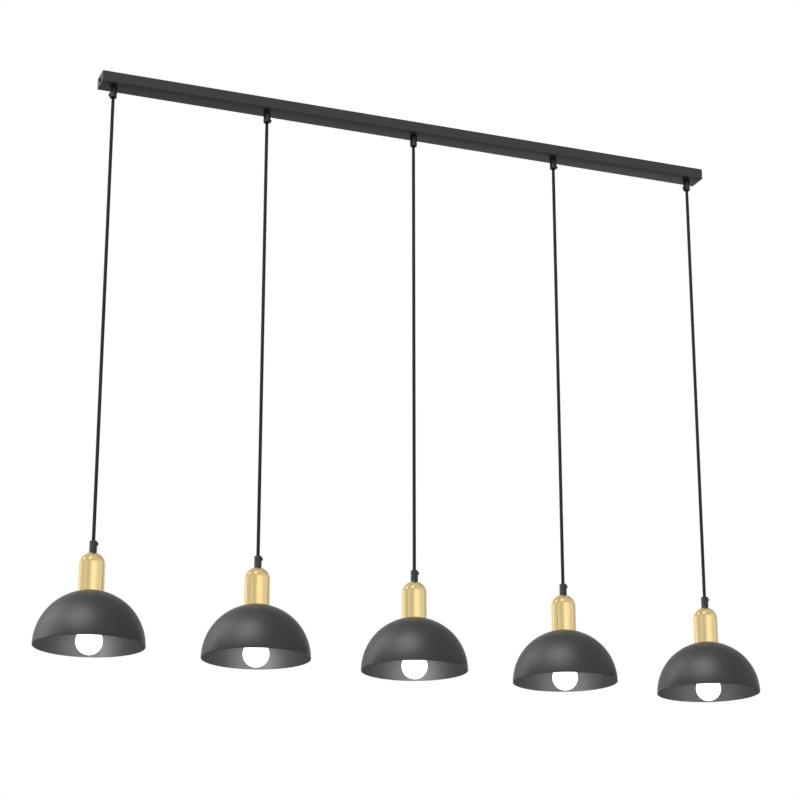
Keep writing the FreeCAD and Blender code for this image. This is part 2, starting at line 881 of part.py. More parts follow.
def make_pendant(number):
    """One cord and the lamp head on its end, from the grip down to the bulb."""
    screw_z = lower_grip_z - d.clamp_drop
    return [
        make_cord(number),
        make_lower_grip(number),
        make_clamp_screw(f"grip_screw_{number}", number, screw_z, LOWER_SCREW_SIDE),
        make_nipple(number),
        make_cup(number),
        make_lampholder(number),
        make_shade(number),
        make_shade_ring(number),
        make_bulb_base(number),
        make_bulb_globe(number),
    ]


def check_and_write(nodes):
    """Stops at a failed object or a bad shape, and writes a file for each node."""
    doc.recompute()
    for item in doc.Objects:
        if "Invalid" in item.State or "Error" in item.State:
            raise RuntimeError(f"{item.Label} failed: {item.State}")
    os.makedirs("parts", exist_ok=True)
    for node in nodes:
        shape = node.Shape
        if shape.isNull() or not shape.isValid() or not shape.Solids:
            raise RuntimeError(f"{node.Label} has no valid solid")
        shape.exportStep(f"parts/{node.Label}.step")
        print(f"{node.Label}: {len(shape.Solids)} solids, {shape.Volume / 1000:.2f} cm3")


nodes = make_ceiling_end()
for number in NUMBERS:
    nodes += make_pendant(number)
check_and_write(nodes)
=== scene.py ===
"""The looks of a linear island pendant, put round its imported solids, in metres.

The origin is on the ceiling over the bar's middle. X runs along the bar, Y to its back and Z up.
A round piece is a profile of (radius, z) carried once round its lamp's upright axis. A cord is a
ring carried along its own spline. Small hardware is its solid with the sharp edges eased.
"""

import bpy
import json
import math
import numpy as np
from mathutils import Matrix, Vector


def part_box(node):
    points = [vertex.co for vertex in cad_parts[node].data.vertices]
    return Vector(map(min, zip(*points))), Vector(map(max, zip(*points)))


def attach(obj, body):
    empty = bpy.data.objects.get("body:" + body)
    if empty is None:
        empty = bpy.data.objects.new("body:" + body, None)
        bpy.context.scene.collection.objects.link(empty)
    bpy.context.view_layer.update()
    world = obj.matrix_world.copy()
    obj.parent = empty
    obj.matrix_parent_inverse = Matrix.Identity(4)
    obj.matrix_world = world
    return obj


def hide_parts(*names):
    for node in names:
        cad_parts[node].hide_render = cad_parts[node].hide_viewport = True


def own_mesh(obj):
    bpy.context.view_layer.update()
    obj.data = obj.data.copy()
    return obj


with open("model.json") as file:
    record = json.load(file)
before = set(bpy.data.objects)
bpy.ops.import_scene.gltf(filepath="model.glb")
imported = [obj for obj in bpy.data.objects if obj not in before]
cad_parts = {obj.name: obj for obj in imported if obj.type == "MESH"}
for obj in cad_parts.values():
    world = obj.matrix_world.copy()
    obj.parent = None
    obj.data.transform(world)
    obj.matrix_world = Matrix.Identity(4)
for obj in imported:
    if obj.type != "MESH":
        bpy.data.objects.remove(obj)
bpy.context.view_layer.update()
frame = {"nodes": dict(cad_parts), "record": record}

MM = 0.001
NUMBERS = range(1, 6)
PITCH = 287.5 * MM
LAMP_X = {number: (number - 3) * PITCH for number in NUMBERS}

# levels: the cord's two ends, where the cup and the shade meet, the cup's top, and the shade's rim
CORD_END, MOUTH = (corner.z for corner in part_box("cord_3"))
SEAT, CUP_TOP = (corner.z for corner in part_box("cup_3"))
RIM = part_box("shade_3")[0].z


# ---------------------------------------------------------------- shader maths


class Value:
    """The output of a node. Adding to it, subtracting or multiplying adds a Math node."""

    def __init__(self, nodes, socket):
        self.nodes = nodes
        self.socket = socket

    def __add__(self, other):
        return self.nodes.math("ADD", self, other)

    def __sub__(self, other):
        return self.nodes.math("SUBTRACT", self, other)

    def __rsub__(self, other):
        return self.nodes.math("SUBTRACT", other, self)

    def __mul__(self, other):
        return self.nodes.math("MULTIPLY", self, other)

    __radd__ = __add__
    __rmul__ = __mul__


class Nodes:
    """A node tree while it is being filled."""

    def __init__(self, tree):
        self.tree = tree
        tree.nodes.clear()

    def add(self, kind, settings=None, sockets=None, out=0):
        """One node: its settings first, then a number, colour or value for each socket named."""
        node = self.tree.nodes.new(kind)
        for name, setting in (settings or {}).items():
            setattr(node, name, setting)
        for name, value in (sockets or {}).items():
            self.feed(node.inputs[name], value)
        if len(node.outputs):
            return Value(self, node.outputs[out])

    def feed(self, socket, value):
        if isinstance(value, Value):
            self.tree.links.new(value.socket, socket)
        else:
            socket.default_value = value

    def math(self, operation, *values):
        return self.add("ShaderNodeMath", {"operation": operation}, dict(enumerate(values)))

    def split(self, vector):
        """The three numbers of a vector."""
        parts = self.add("ShaderNodeSeparateXYZ", None, {"Vector": vector}).socket.node.outputs
        return [Value(self, part) for part in parts]

    def noise(self, place, per_metre, detail):
        """Noise from 0 to 1, with so many waves in a metre, and detail finer layers over them."""
        sockets = {"Vector": place, "Scale": per_metre, "Detail": detail}
        return self.add("ShaderNodeTexNoise", None, sockets)

    def between(self, share, low, high):
        """A colour from low to high: the Mix node's sockets 6 and 7, and its output 2."""
        settings = {"data_type": "RGBA", "clamp_factor": True}
        return self.add("ShaderNodeMix", settings, {0: share, 6: low, 7: high}, out=2)

    def steps(self, value, start, end, low=0.0, high=1.0):
        """low at start and high at end, and beyond them, with a smooth change between."""
        settings = {"interpolation_type": "SMOOTHSTEP"}
        sockets = {0: value, 1: start, 2: end, 3: low, 4: high}
        return self.add("ShaderNodeMapRange", settings, sockets)

    def relief(self, height, depth):
        """The normal of a surface whose height, from 0 to 1, is worth the depth in metres."""
        sockets = {"Height": height, "Distance": depth, "Strength": 1.0}
        return self.add("ShaderNodeBump", None, sockets)


OBJECT_PLACE = 3  # the Texture Coordinate node's Object output


def finish(name, make, **constants):
    """A material: make gives what changes over the surface, and constants are the same all over."""
    material = bpy.data.materials.new(name)
    material.use_nodes = True
    nodes = Nodes(material.node_tree)
    place = nodes.add("ShaderNodeTexCoord", out=OBJECT_PLACE)
    sockets = {key.replace("_", " "): value for key, value in constants.items()}
    sockets.update(make(nodes, place))
    shader = nodes.add("ShaderNodeBsdfPrincipled", None, sockets)
    nodes.add("ShaderNodeOutputMaterial", None, {"Surface": shader})
    return material


def grey(level):
    return (level, level, level, 1.0)


# ---------------------------------------------------------------- finishes

# the level under which the bar's coat changes, how far below it the change is whole, and by how
# much the roughness falls in a metre towards the back
UNDERSIDE, UNDERSIDE_STEP, UNDERSIDE_CHANGE = -20.3 * MM, 0.1 * MM, 9.0

# along the shade's profile: where the inside ends, and where the crown's smoother paint has faded
SHADE_INSIDE, SHADE_STEP = 130.0 * MM, 1.0 * MM
CROWN_END, CROWN_FADE = 192.0 * MM, 30.0 * MM

# the braid: waves round the cord for each set of strands, and the length of one turn of a strand
BRAID_WAVES, BRAID_LAY = 10, 26.0 * MM


def powder_coat(nodes, place):
    """Satin black powder coat: orange peel a millimetre across, and a faint cloudiness.

    The coat on the bar's underside, where z is lowest, gets smoother towards the back as y grows.
    """
    peel = nodes.noise(place, 1100.0, 3.0)
    cloud = nodes.noise(place, 9.0, 2.0)
    _, y, z = nodes.split(place)
    under = nodes.steps(z, UNDERSIDE, UNDERSIDE - UNDERSIDE_STEP)
    return {
        "Base Color": nodes.between(cloud, grey(0.009), grey(0.015)),
        "Roughness": cloud * 0.06 + peel * 0.08 - under * (y * UNDERSIDE_CHANGE) + 0.3,
        "Normal": nodes.relief(peel, 0.035 * MM),
    }


def moulded_black(nodes, place):
    """Semi-gloss moulded plastic with a fine grain and a few handling marks."""
    grain = nodes.noise(place, 2600.0, 2.0)
    marks = nodes.noise(place, 130.0, 3.0)
    return {
        "Base Color": nodes.between(marks, grey(0.005), grey(0.01)),
        "Roughness": marks * 0.16 + 0.3,
        "Normal": nodes.relief(grain, 0.01 * MM),
    }


def matt_black(nodes, place):
    """Moulded lampholder body: matt and slightly speckled."""
    grain = nodes.noise(place, 1800.0, 3.0)
    return {
        "Base Color": nodes.between(grain, grey(0.018), grey(0.036)),
        "Roughness": grain * 0.2 + 0.42,
        "Normal": nodes.relief(grain, 0.03 * MM),
    }


def blackened_screw(nodes, place):
    """Blackened steel, rubbed a little brighter where the noise is high."""
    rub = nodes.noise(place, 900.0, 4.0)
    return {
        "Base Color": nodes.between(nodes.steps(rub, 0.55, 0.75), grey(0.02), grey(0.07)),
        "Roughness": rub * 0.25 + 0.22,
        "Normal": nodes.relief(rub, 0.012 * MM),
    }


def zinc_plate(nodes, place):
    """Zinc-plated steel: soft spangles and a drawn grain, noise stretched along the strip."""
    spangle = nodes.noise(place, 240.0, 2.0)
    drawn_out = {"Vector": place, "Scale": (6.0, 700.0, 700.0)}
    drawn = nodes.noise(nodes.add("ShaderNodeMapping", None, drawn_out), 3.0, 2.0)
    return {
        "Base Color": nodes.between(spangle, (0.42, 0.43, 0.45, 1.0), (0.62, 0.62, 0.61, 1.0)),
        "Roughness": drawn * 0.2 + spangle * 0.12 + 0.2,
        "Normal": nodes.relief(drawn, 0.01 * MM),
    }


def plain_brass(nodes, place):
    """Turned brass terminals, dulled in patches."""
    dull = nodes.noise(place, 500.0, 3.0)
    return {
        "Base Color": nodes.between(dull, (0.78, 0.58, 0.24, 1.0), (0.55, 0.38, 0.16, 1.0)),
        "Roughness": dull * 0.3 + 0.18,
        "Normal": nodes.relief(dull, 0.01 * MM),
    }


def off_white_plastic(nodes, place):
    """Off-white moulded terminal housing with a fine spark texture."""
    spark = nodes.noise(place, 1500.0, 3.0)
    cloud = nodes.noise(place, 60.0, 2.0)
    return {
        "Base Color": nodes.between(cloud, (0.72, 0.71, 0.66, 1.0), (0.8, 0.79, 0.75, 1.0)),
        "Roughness": spark * 0.15 + 0.45,
        "Normal": nodes.relief(spark, 0.02 * MM),
    }


def profile_place(nodes):
    """The piece's UV map: the share of a turn round it, and metres along its profile."""
    return nodes.add("ShaderNodeUVMap", {"uv_map": "profile"})


def ring_marks(nodes, per_metre):
    """Fine turning marks: noise that changes along the profile and hardly round the piece."""
    stretch = {"Vector": profile_place(nodes), "Scale": (1.5, per_metre, 1.0)}
    return nodes.noise(nodes.add("ShaderNodeMapping", None, stretch), 1.0, 3.0)


def polished_gold(nodes, place):
    """Lacquered polished brass: faint turning marks, and a colour that wanders a little."""
    marks = ring_marks(nodes, 2200.0)
    wander = nodes.noise(place, 12.0, 1.0)
    return {
        "Base Color": nodes.between(wander, (0.89, 0.685, 0.33, 1.0), (0.93, 0.73, 0.365, 1.0)),
        "Roughness": marks * 0.03 + wander * 0.03 + 0.04,
        "Normal": nodes.relief(marks, 0.0025 * MM),
    }


def satin_charcoal(nodes, place):
    """Satin charcoal paint over spun sheet: a fine grain, spinning rings under it, and grey inside.

    The profile starts inside the rim, so the UV map's second number is small inside the shade. The
    paint is smoother on the crown, round the cup.
    """
    rings = ring_marks(nodes, 500.0)
    wander = nodes.noise(place, 12.0, 1.0)
    grain = nodes.noise(place, 1500.0, 3.0)
    _, along, _ = nodes.split(profile_place(nodes))
    outside = nodes.steps(along, SHADE_INSIDE - SHADE_STEP, SHADE_INSIDE)
    crown = nodes.steps(along, CROWN_END - CROWN_FADE, CROWN_END, 1.0, 0.0)
    charcoal = nodes.between(wander, (0.009, 0.0092, 0.0094, 1.0), (0.013, 0.0133, 0.0136, 1.0))
    inner_grey = nodes.between(wander, grey(0.013), grey(0.017))
    return {
        "Base Color": nodes.between(outside, inner_grey, charcoal),
        "Roughness": grain * 0.08 + wander * 0.04 + outside * (0.1 - crown * 0.13) + 0.3,
        "Normal": nodes.relief(grain * 0.6 + rings * 0.4, 0.02 * MM),
    }


def drawn_aluminium(nodes, place):
    """The bulb's screw shell: pale metal, brighter and duller in small rubbed patches."""
    rub = nodes.noise(place, 700.0, 3.0)
    return {
        "Base Color": nodes.between(rub, (0.62, 0.62, 0.63, 1.0), (0.8, 0.8, 0.79, 1.0)),
        "Roughness": rub * 0.2 + 0.18,
        "Normal": nodes.relief(rub, 0.01 * MM),
    }


def lit_opal(nodes, place):
    """Opal glass with the lamp on: white, a touch deeper in the clear spots of its cloudiness."""
    cloud = nodes.noise(place, 40.0, 2.0)
    return {
        "Base Color": nodes.between(cloud, (0.86, 0.86, 0.85, 1.0), (0.92, 0.92, 0.92, 1.0)),
        "Roughness": cloud * 0.06 + 0.2,
        "Emission Color": nodes.between(cloud, (1.0, 0.985, 0.965, 1.0), (1.0, 1.0, 1.0, 1.0)),
    }


def braided_cover(nodes, place):
    """Black textile braid: two sets of strands that wind opposite ways, over and under in turn.

    Each set is the square of a sine of the waves round the cord plus or minus the waves along it.
    The set on top is told by the sign of the two sines' product. Its base colour is painted
    shade: darker in the grooves between the strands and lighter on their crowns.
    """
    around, along, _ = nodes.split(profile_place(nodes))
    waves = 2 * math.pi * BRAID_WAVES
    around_angle, along_angle = around * waves, along * (waves / BRAID_LAY)
    left = nodes.math("SINE", around_angle + along_angle)
    right = nodes.math("SINE", around_angle - along_angle)
    left_top = nodes.steps(left * right, -0.25, 0.25)
    strands_and_painted_shade = left_top * (left * left) + (1 - left_top) * (right * right)
    fuzz = nodes.noise(place, 4000.0, 2.0)
    return {
        # the base colour is painted shade: darker in the grooves between strands, lighter on their
        # crowns
        "Base Color": nodes.between(strands_and_painted_shade, grey(0.003), grey(0.007)),
        "Roughness": fuzz * 0.2 + 0.6,
        "Normal": nodes.relief(strands_and_painted_shade * 0.8 + fuzz * 0.2, 0.04 * MM),
    }


FINISHES = {
    "canopy_black": finish("satin_black_powder", powder_coat),
    "steel": finish("zinc_plated_steel", zinc_plate, Metallic=1.0),
    "screw_black": finish("blackened_steel", blackened_screw, Metallic=0.7),
    "grip_black": finish("semi_gloss_grip", moulded_black),
    "cord_black": finish("black_braid", braided_cover, Specular_IOR_Level=0.3),
    "terminal_plastic": finish("off_white_housing", off_white_plastic),
    "brass_plain": finish("plain_brass", plain_brass, Metallic=1.0),
    "gold": finish("polished_gold", polished_gold, Metallic=1.0),
    "holder_black": finish("matt_black_holder", matt_black),
    "shade_charcoal": finish("satin_charcoal", satin_charcoal),
    "bulb_metal": finish("drawn_aluminium", drawn_aluminium, Metallic=1.0),
    "opal": finish("lit_opal", lit_opal, Emission_Strength=1.6),
}


# ---------------------------------------------------------------- surfaces

# lengths in metres: under the first a row is one point, under the second two points are one
POLE_SIZE, SAME_POINT = 1e-9, 1e-7

# an eased corner's steps, and how far off it, in reaches, each side gets a point that keeps it flat
# under smooth shading
CORNER_STEPS, FLAT_FROM = 5, 1.6

SPAN_STEPS = 12  # of a cord's spline, for each of its control points
RING_SIDES = 24  # of a cord
CORD_RADIUS = 3.0 * MM


def skin(name, grid, marks, loop=False):
    """A smooth mesh on a grid of points, rows along the piece and columns round it, faces outwards.

    Each cell is a face, and the last column joins the first. With loop, so do the rows. A row whose
    points are all one point becomes a single vertex, and its cells triangles. marks is the UV map's
    second number for each row, in metres along the profile; its first is the share of a turn.
    """
    rows, columns = grid.shape[:2]
    index = np.arange(rows * columns).reshape(rows, columns)
    pole = np.ptp(grid, axis=1).max(axis=1) < POLE_SIZE
    index[pole] = index[pole, :1]
    turns = np.arange(columns + 1) / columns
    index = np.concatenate([index, index[:, :1]], axis=1)
    if loop:
        index = np.concatenate([index, index[:1]])
        marks = np.append(marks, marks[-1] + np.linalg.norm(grid[0, 0] - grid[-1, 0]))
    uv = np.stack(np.broadcast_arrays(turns[None, :], marks[:, None]), axis=-1)

    def corners(values):
        cell = [values[:-1, :-1], values[1:, :-1], values[1:, 1:], values[:-1, 1:]]
        return np.stack(cell, axis=2).reshape(-1, 4, *values.shape[2:])

    faces, places = corners(index), corners(uv)
    kept = faces != np.roll(faces, 1, axis=1)
    used, vertex = np.unique(faces[kept], return_inverse=True)
    starts = np.concatenate([[0], np.cumsum(kept.sum(axis=1))[:-1]])
    mesh = bpy.data.meshes.new(name)
    mesh.vertices.add(len(used))
    mesh.vertices.foreach_set("co", grid.reshape(-1, 3)[used].ravel())
    mesh.loops.add(len(vertex))
    mesh.loops.foreach_set("vertex_index", vertex.ravel().astype(np.int32))
    mesh.polygons.add(len(faces))
    mesh.polygons.foreach_set("loop_start", starts.astype(np.int32))
    mesh.uv_layers.new(name="profile").data.foreach_set("uv", places[kept].ravel())
    mesh.update(calc_edges=True)
    mesh.shade_smooth()
    made = bpy.data.objects.new(name, mesh)
    bpy.context.scene.collection.objects.link(made)
    return made


def dress(piece, body, slot, *nodes):
    """Gives a piece its finish, and says which body carries it and which solids it stands for."""
    piece.data.materials.clear()
    piece.data.materials.append(FINISHES[slot])
    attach(piece, body)
    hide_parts(*nodes)


def unit(vectors):
    """Rows of vectors, each divided by its length, or by next to nothing if it has none."""
    return vectors / np.maximum(np.linalg.norm(vectors, axis=1, keepdims=True), 1e-12)


def lengths_along(points):
    """The distance from the first of a row of points to each of them, along the row."""
    steps = np.linalg.norm(np.diff(points, axis=0), axis=1)
    return np.concatenate([[0.0], np.cumsum(steps)])


def arc(centre_z, radius, start, end, count):
    """Points (radius, z) of a circle about the axis at centre_z, by degrees above the level."""
    turn = np.radians(np.linspace(start, end, count))
    return np.stack([radius * np.cos(turn), centre_z + radius * np.sin(turn)], axis=1)


def softened(corners, loop=True):
    """A profile with its corners eased. corners are (radius, z) or (radius, z, reach).

    Each corner is left at its reach before it and met again as far after it, on the parabola that
    touches both sides there: (1-t)^2 of the one point, 2t(1-t) of the corner, t^2 of the other.
    """
    table = np.array([tuple(c) + (0.0,) * (3 - len(c)) for c in corners])
    points, reach = table[:, :2], table[:, 2:]
    back = unit(np.roll(points, 1, axis=0) - points)
    on = unit(np.roll(points, -1, axis=0) - points)
    t = np.linspace(0.0, 1.0, CORNER_STEPS + 1)[None, :, None]
    first, last = (points + side * reach for side in (back, on))
    curve = (1 - t) ** 2 * first[:, None] + 2 * t * (1 - t) * points[:, None] + t**2 * last[:, None]
    before, after = (points + side * reach * FLAT_FROM for side in (back, on))
    line = np.concatenate([before[:, None], curve, after[:, None]], axis=1).reshape(-1, 2)
    gap = np.linalg.norm(line - np.roll(line, 1, axis=0), axis=1)
    if not loop:
        gap[0] = 1.0
    return line[gap > SAME_POINT]


def turned(name, x, profile, loop=True, sides=96, depth=None):
    """The profile carried once round the upright axis at x, less depth(radius, z, turn)."""
    turn = np.linspace(0.0, 2 * math.pi, sides, endpoint=False)[None, :]
    radius, z = profile[:, :1], profile[:, 1:]
    if depth is not None:
        radius = radius - depth(radius, z, turn)
    grid = np.broadcast_arrays(x + radius * np.cos(turn), radius * np.sin(turn), z)
    return skin(name, np.stack(grid, axis=-1), lengths_along(profile), loop)


def spline_points(points):
    """Points read from the smooth spline that has these as its control points."""
    curve = bpy.data.curves.new("route", "CURVE")
    curve.dimensions = "3D"
    curve.resolution_u = SPAN_STEPS
    spline = curve.splines.new("NURBS")
    spline.points.add(len(points) - 1)
    spline.points.foreach_set("co", [v for p in points for v in (*p, 1.0)])
    spline.order_u = 3
    spline.use_endpoint_u = True
    holder = bpy.data.objects.new("route", curve)
    mesh = bpy.data.meshes.new_from_object(holder)
    line = np.empty(len(mesh.vertices) * 3)
    mesh.vertices.foreach_get("co", line)
    bpy.data.meshes.remove(mesh)
    bpy.data.objects.remove(holder)
    bpy.data.curves.remove(curve)
    return line.reshape(-1, 3)


def carried(name, line, radius):
    """A ring carried along a line that never runs along Y, with slightly rounded ends.

    At each point one side of the ring is the line's direction crossed with Y, and the other is that
    side crossed with the direction. Each end closes over four rings, at angles from 90 degrees
    down: a ring's share of the radius is the cosine, and it lies a quarter of the radius times one
    minus the sine inside the end.
    """
    ahead = unit(np.gradient(line, axis=0))
    cap = np.radians([90.0, 67.5, 45.0, 22.5])
    inward = 0.25 * radius * (1 - np.sin(cap))[:, None]
    size = radius * np.concatenate([np.cos(cap), np.ones(len(line) - 2), np.cos(cap[::-1])])
    size[[0, -1]] = 0.0
    head, tail = line[0] + ahead[0] * inward, line[-1] - ahead[-1] * inward[::-1]
    times = np.ones(len(line), dtype=int)
    times[[0, -1]] = len(cap)
    ahead = np.repeat(ahead, times, axis=0)
    line = np.concatenate([head, line[1:-1], tail])
    side = unit(np.cross(ahead, (0.0, 1.0, 0.0)))[:, None]
    other = np.cross(side[:, 0], ahead)[:, None]
    turn = np.linspace(0.0, 2 * math.pi, RING_SIDES, endpoint=False)[None, :, None]
    grid = line[:, None] + size[:, None, None] * (side * np.cos(turn) + other * np.sin(turn))
    return skin(name, grid, lengths_along(line))


def eased(name, node, width):
    """A node's solid with its sharp edges rounded: a copy, merged, its flats whole, bevelled."""
    made = bpy.data.objects.new(name, frame["nodes"][node].data.copy())
    bpy.context.scene.collection.objects.link(made)
    weld = made.modifiers.new("merged", "WELD")
    weld.merge_threshold = 0.001 * MM
    flat = made.modifiers.new("flat_faces", "DECIMATE")
    flat.decimate_type = "DISSOLVE"
    flat.angle_limit = math.radians(0.5)
    bevel = made.modifiers.new("eased_edges", "BEVEL")
    bevel.width = width
    bevel.segments = 2
    bevel.limit_method = "ANGLE"
    bevel.angle_limit = math.radians(35.0)
    made.data.shade_smooth()
    even = made.modifiers.new("flat_shading", "WEIGHTED_NORMAL")
    even.weight = 100
    even.keep_sharp = True
    return made


# ---------------------------------------------------------------- cords

ROUTE_POINTS = 7  # of a hanging cord

# where a tail enters the terminal block and where it ends there, from the left and from the right
LEFT_ENTRY, RIGHT_ENTRY = (78.0 * MM, 93.0 * MM), (152.0 * MM, 137.0 * MM)

# each tail's entry and end, and its lane: -1 in front, 0 in the middle, 1 behind
TAIL_ENDS = {
    1: (*LEFT_ENTRY, -1),
    2: (*LEFT_ENTRY, 1),
    3: (*LEFT_ENTRY, 0),
    4: (*RIGHT_ENTRY, 0),
    5: (*RIGHT_ENTRY, -1),
}
TAIL_LANE, TAIL_BEND, TAIL_SWEEP = 7.6 * MM, 15.0 * MM, 40.0 * MM
TAIL_TOP, TAIL_ENTRY = -6.5 * MM, -12.6 * MM


def hanging_cord(number):
    """A taut cord from the upper grip's mouth, through the lower grip, into the lampholder."""
    x = LAMP_X[number]
    line = spline_points([(x, 0.0, z) for z in np.linspace(MOUTH, CORD_END, ROUTE_POINTS)])
    piece = carried(f"braided_cord_{number}", line, CORD_RADIUS)
    dress(piece, f"hanging_cord_{number}", "cord_black", f"cord_{number}")
    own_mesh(piece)


def cord_tail(number):
    """The cord's end inside the canopy: up its grip, over, and along its lane to the terminals."""
    x = LAMP_X[number]
    face, end, lane = TAIL_ENDS[number]
    y = lane * TAIL_LANE
    route = [
        (x, 0.0, MOUTH),
        (x, 0.0, TAIL_TOP - TAIL_BEND),
        (x, 0.0, TAIL_TOP),
        (x + math.copysign(TAIL_SWEEP, face - x), y, TAIL_TOP),
        (face, y, TAIL_ENTRY),
        (end, y, TAIL_ENTRY),
    ]
    piece = carried(f"braided_tail_{number}", spline_points(route), CORD_RADIUS)
    dress(piece, "ceiling_end", "cord_black", "cord_tails")


for number in NUMBERS:
    hanging_cord(number)
for number in NUMBERS:
    cord_tail(number)


# ---------------------------------------------------------------- lamp heads


def gold_cup(number):
    """The cup: a round side and a dome of the same radius with a small flat, one wall thick."""
    radius, wall, hole, flat = 22.0 * MM, 0.8 * MM, 5.0 * MM, 6.7 * MM
    inner = radius - wall
    dome = CUP_TOP - math.sqrt(radius**2 - flat**2)
    side_top = dome - 1.0 * MM
    outer_end = math.degrees(math.acos(flat / radius))
    inner_end = math.degrees(math.asin((CUP_TOP - wall - dome) / inner))
    profile = [
        (inner, SEAT),
        (inner, side_top),
        *arc(dome, inner, 0.0, inner_end, 24),
        (hole, CUP_TOP - wall, 0.1 * MM),
        (hole, CUP_TOP, 0.2 * MM),
        *arc(dome, radius, outer_end, 0.0, 40),
        (radius, side_top),
        (radius, SEAT, 0.1 * MM),
    ]
    piece = turned(f"gold_cup_{number}", LAMP_X[number], softened(profile), sides=128)
    dress(piece, f"lamp_head_{number}", "gold", f"cup_{number}")


def charcoal_shade(number):
    """The shade: a half sphere open below, with an eased rim and a hidden flat under the cup."""
    radius, wall, hole, flat = 93.0 * MM, 1.0 * MM, 17.9 * MM, 21.8 * MM
    inner, lip, lip_end = radius - wall, 0.45 * MM, 1.2
    outer_end = math.degrees(math.acos(flat / radius))
    inner_end = math.degrees(math.asin((SEAT - wall - RIM) / inner))
    profile = [
        (inner, RIM, lip),
        *arc(RIM, inner, lip_end, inner_end, 56),
        (hole, SEAT - wall, 0.2 * MM),
        (hole, SEAT, 0.2 * MM),
        *arc(RIM, radius, outer_end, lip_end, 56),
        (radius, RIM, lip),
    ]
    piece = turned(f"charcoal_shade_{number}", LAMP_X[number], softened(profile), sides=160)
    dress(piece, f"lamp_head_{number}", "shade_charcoal", f"shade_{number}")


def rolled_thread(shell, pitch, depth, low, high):
    """What a rolled thread takes off the shell of that radius, between the levels low and high.

    It is the depth times half of 1 - cosine over the pitch, moves on by the pitch in a turn, and
    fades out over a pitch at each end.
    """

    def taken(radius, z, turn):
        wave = 0.5 - 0.5 * np.cos(2 * math.pi * (z / pitch) - turn)
        run_in = np.clip((z - low) / pitch, 0, 1) * np.clip((high - z) / pitch, 0, 1)
        return np.where(np.abs(radius - shell) < 0.001 * MM, depth * wave * run_in, 0.0)

    return taken


def threaded_lampholder(number):
    """The lampholder: neck, cap with a cord chamber, flange, and a skirt with a rolled thread."""
    low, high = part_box(f"lampholder_{number}")
    mouth, top = low.z, high.z
    bore, neck, chamber, cap = 5.0 * MM, 7.5 * MM, 11.0 * MM, 17.0 * MM
    flange, skirt, socket = 19.6 * MM, 17.5 * MM, 13.6 * MM
    chamber_floor, chamber_top = SEAT + 4.0 * MM, top - 9.0 * MM
    neck_foot, flange_top = top - 5.0 * MM, SEAT + 2.4 * MM
    socket_top = mouth + 22.2 * MM
    thread_low, thread_high = mouth + 2.5 * MM, SEAT - 3.5 * MM
    profile = [
        (0.0, chamber_floor),
        (chamber, chamber_floor),
        (chamber, chamber_top),
        (bore, chamber_top),
        (bore, top, 0.3 * MM),
        (neck, top, 0.5 * MM),
        (neck, neck_foot, 0.3 * MM),
        (cap, neck_foot, 5.0 * MM),
        (cap, flange_top, 0.3 * MM),
        (flange, flange_top, 0.5 * MM),
        (flange, SEAT, 0.4 * MM),
        (skirt, SEAT, 0.3 * MM),
        *((skirt, z) for z in np.linspace(thread_high, thread_low, 80)),
        (skirt, mouth, 0.8 * MM),
        (socket, mouth, 0.6 * MM),
        (socket, socket_top),
        (0.0, socket_top),
    ]
    outline = softened(profile, loop=False)
    pitch, depth = 2.6 * MM, 0.7 * MM
    thread = rolled_thread(skirt, pitch, depth, thread_low, thread_high)
    name = f"threaded_lampholder_{number}"
    piece = turned(name, LAMP_X[number], outline, loop=False, depth=thread)
    dress(piece, f"lamp_head_{number}", "holder_black", f"lampholder_{number}")


def notched_ring(number):
    """The shade ring: twelve finger notches in its side, each eased by a smooth step."""
    low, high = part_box(f"shade_ring_{number}")
    bore, radius, margin = 17.7 * MM, 24.0 * MM, 0.8 * MM
    profile = [
        (bore, low.z, 0.4 * MM),
        (bore, high.z, 0.4 * MM),
        (radius, high.z, 0.5 * MM),
        *((radius, z) for z in np.linspace(high.z - margin, low.z + margin, 16)),
        (radius, low.z, 0.6 * MM),
    ]
    notch, half, pitch = 1.2 * MM, 1.5 * MM / radius, 2 * math.pi / 12

    def cut(distance, z, turn):
        off = np.abs((turn + pitch / 2) % pitch - pitch / 2)
        share = np.clip((half * 1.25 - off) / (half * 0.5), 0, 1)
        run = np.clip((high.z - notch * 0.8 - z) / (notch * 0.5), 0, 1)
        return np.where(distance > radius - notch, notch * share**2 * (3 - 2 * share) * run, 0.0)

    name = f"notched_ring_{number}"
    piece = turned(name, LAMP_X[number], softened(profile), sides=288, depth=cut)
    dress(piece, f"lamp_head_{number}", "holder_black", f"shade_ring_{number}")


def screw_base(number):
    """The bulb's base: a shell with a rolled thread, and a cone up to the contact on its tip."""
    low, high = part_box(f"bulb_base_{number}")
    radius, tip = 13.1 * MM, 4.8 * MM
    shoulder = high.z - 5.0 * MM
    thread_low, thread_high = low.z + 4.0 * MM, shoulder - 1.0 * MM
    profile = [
        (0.0, high.z),
        (tip, high.z, 0.8 * MM),
        (radius - 1.0 * MM, shoulder, 0.8 * MM),
        *((radius, z) for z in np.linspace(thread_high, thread_low, 60)),
        (radius, low.z, 0.3 * MM),
        (0.0, low.z),
    ]
    outline = softened(profile, loop=False)
    pitch, depth = 3.6 * MM, 1.0 * MM
    thread = rolled_thread(radius, pitch, depth, thread_low, thread_high)
    name = f"screw_base_{number}"
    piece = turned(name, LAMP_X[number], outline, loop=False, sides=64, depth=thread)
    dress(piece, f"bulb_{number}", "bulb_metal", f"bulb_base_{number}")


